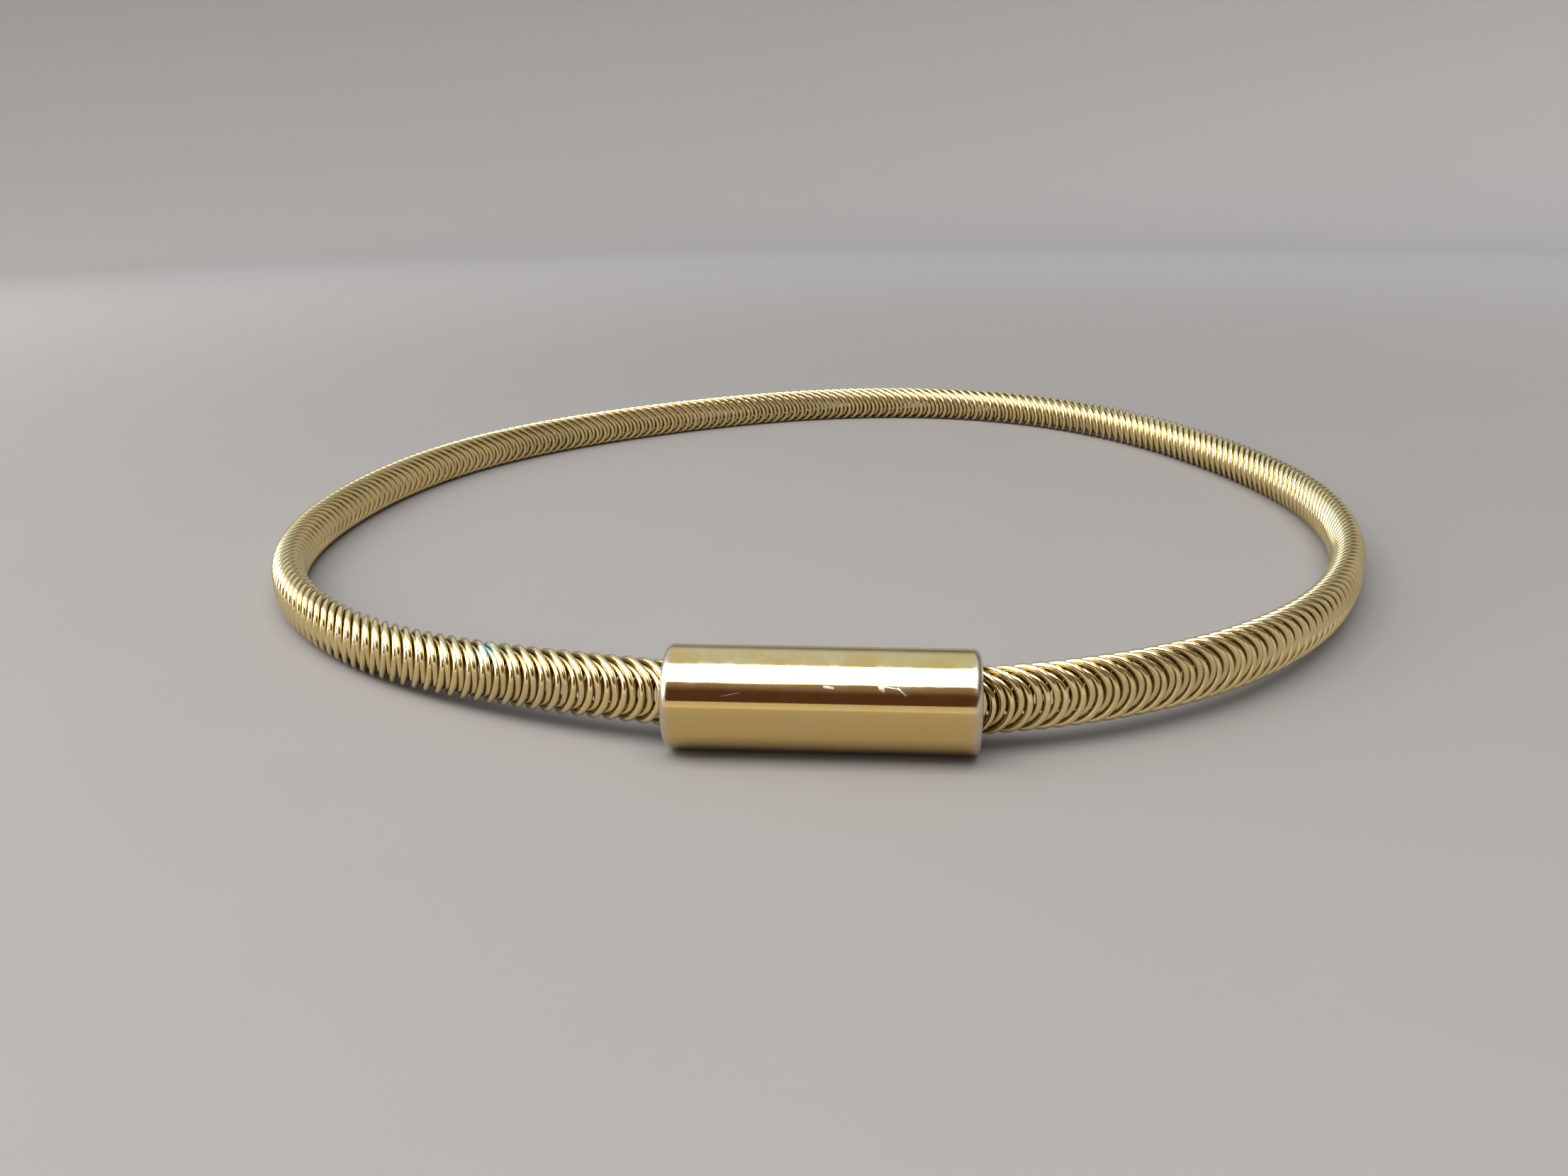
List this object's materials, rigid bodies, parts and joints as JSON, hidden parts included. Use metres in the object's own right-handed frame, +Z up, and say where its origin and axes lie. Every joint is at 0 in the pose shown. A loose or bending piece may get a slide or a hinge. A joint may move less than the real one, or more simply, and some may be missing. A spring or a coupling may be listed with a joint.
{
  "type": "stretch belt",
  "caption": "Closed loop of sprung gold-tone wire coil with leaning turns, its ends joined inside a plain polished barrel clasp; it stretches to pass over the hips and sits round the waist.",
  "frame": {"origin": "on the surface the belt lies on, under the middle of its outline", "axes": "+Z up, +X along the barrel clasp to the right as seen from the front, +Y from the barrel at the front to the back of the loop"},
  "size_m": [0.2186, 0.2554, 0.0142],
  "materials": {
    "coil_wire": "polished gold-tone round wire, lightly tarnished between the turns",
    "barrel": "mirror-polished gold-tone metal with a light olive tarnish on top and plating worn silvery at one end",
    "core": "plain turned metal, hidden"
  },
  "bodies": {
    "root": {"coil": "coil_wire", "barrel_sleeve": "barrel", "clasp_core": "core"}
  },
  "joints": []
}
